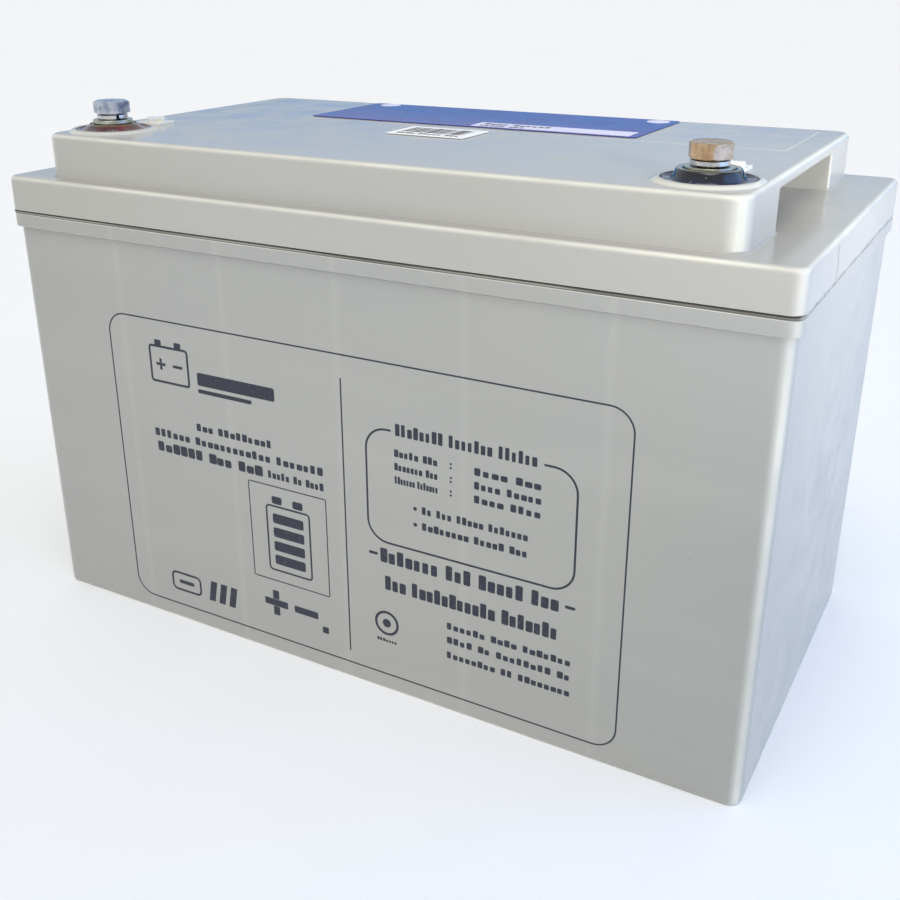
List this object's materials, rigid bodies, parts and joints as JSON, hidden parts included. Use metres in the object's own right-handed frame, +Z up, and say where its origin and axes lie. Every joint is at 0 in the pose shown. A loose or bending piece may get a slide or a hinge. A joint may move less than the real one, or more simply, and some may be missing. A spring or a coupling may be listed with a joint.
{
  "type": "deep cycle battery",
  "caption": "Sealed gel deep cycle battery: rectangular case, flanged lid with a raised block, finger pockets at both ends and a bolted terminal at each front corner.",
  "frame": {"origin": "centre of the flat underside of the case", "axes": "+Z up, +X along the length towards the negative terminal, -Y towards the long side that carries both terminals and the printed panel"},
  "size_m": [0.33, 0.1724, 0.2247],
  "materials": {
    "case_abs": "moulded light grey ABS, satin gloss",
    "lid_abs": "moulded light grey ABS, glossy",
    "cover_abs": "moulded light grey ABS, glossy",
    "dark_epoxy": "set epoxy, dark brown",
    "valve_rubber": "soft black rubber",
    "seal_rubber": "black rubber",
    "positive_plate": "dark brown lead dioxide paste",
    "negative_plate": "grey sponge lead on a cast grid",
    "separator_sheet": "porous off-white separator sheet",
    "cast_lead": "cast lead alloy, dull",
    "tinned_brass": "tinned brass, turned",
    "red_resin": "clear dark red casting resin, wet gloss",
    "black_resin": "black casting resin, wet gloss",
    "zinc_steel": "bright zinc plated steel",
    "bolt_zinc": "bright zinc plated steel",
    "bolt_yellow_zinc": "zinc plated steel with a warm passivated tint",
    "blue_label": "printed film label, satin",
    "white_sticker": "white paper sticker"
  },
  "bodies": {
    "battery": {"barcode_sticker": "white_sticker", "case": "case_abs", "cell_link_1": "cast_lead", "cell_link_2": "cast_lead", "cell_link_3": "cast_lead", "cell_link_4": "cast_lead", "cell_link_5": "cast_lead", "lid": "lid_abs", "lid_seal_bead": "dark_epoxy", "negative_o_ring": "seal_rubber", "negative_plates_1": "negative_plate", "negative_plates_2": "negative_plate", "negative_plates_3": "negative_plate", "negative_plates_4": "negative_plate", "negative_plates_5": "negative_plate", "negative_plates_6": "negative_plate", "negative_pole": "cast_lead", "negative_resin": "black_resin", "negative_terminal": "tinned_brass", "positive_o_ring": "seal_rubber", "positive_plates_1": "positive_plate", "positive_plates_2": "positive_plate", "positive_plates_3": "positive_plate", "positive_plates_4": "positive_plate", "positive_plates_5": "positive_plate", "positive_plates_6": "positive_plate", "positive_pole": "cast_lead", "positive_resin": "red_resin", "positive_terminal": "tinned_brass", "separator_1": "separator_sheet", "separator_2": "separator_sheet", "separator_3": "separator_sheet", "separator_4": "separator_sheet", "separator_5": "separator_sheet", "separator_6": "separator_sheet", "top_label": "blue_label", "valve_cap_1": "valve_rubber", "valve_cap_2": "valve_rubber", "valve_cap_3": "valve_rubber", "valve_cap_4": "valve_rubber", "valve_cap_5": "valve_rubber", "valve_cap_6": "valve_rubber", "vent_cover": "cover_abs"},
    "positive_washers": {"positive_flat_washer": "zinc_steel", "positive_spring_washer": "zinc_steel"},
    "positive_bolt": {"positive_bolt": "bolt_zinc"},
    "negative_washers": {"negative_flat_washer": "zinc_steel", "negative_spring_washer": "zinc_steel"},
    "negative_bolt": {"negative_bolt": "bolt_yellow_zinc"}
  },
  "joints": [
    {"name": "positive_bolt_lift", "type": "slide", "parent": "battery", "child": "positive_washers", "axis": [0, 0, 1], "range_m": [0, 0.0113]},
    {"name": "positive_bolt_turn", "type": "hinge", "parent": "positive_washers", "child": "positive_bolt", "pos_m": [-0.1265, -0.0595, 0.2194], "axis": [0, 0, 1], "range_deg": [0, 3240]},
    {"name": "negative_bolt_lift", "type": "slide", "parent": "battery", "child": "negative_washers", "axis": [0, 0, 1], "range_m": [0, 0.0113]},
    {"name": "negative_bolt_turn", "type": "hinge", "parent": "negative_washers", "child": "negative_bolt", "pos_m": [0.1265, -0.0595, 0.2194], "axis": [0, 0, 1], "range_deg": [0, 3240]}
  ],
  "couplings": [
    {"joint": "positive_bolt_lift", "follows": "positive_bolt_turn", "m_per_rad": 0.00019894},
    {"joint": "negative_bolt_lift", "follows": "negative_bolt_turn", "m_per_rad": 0.00019894}
  ]
}
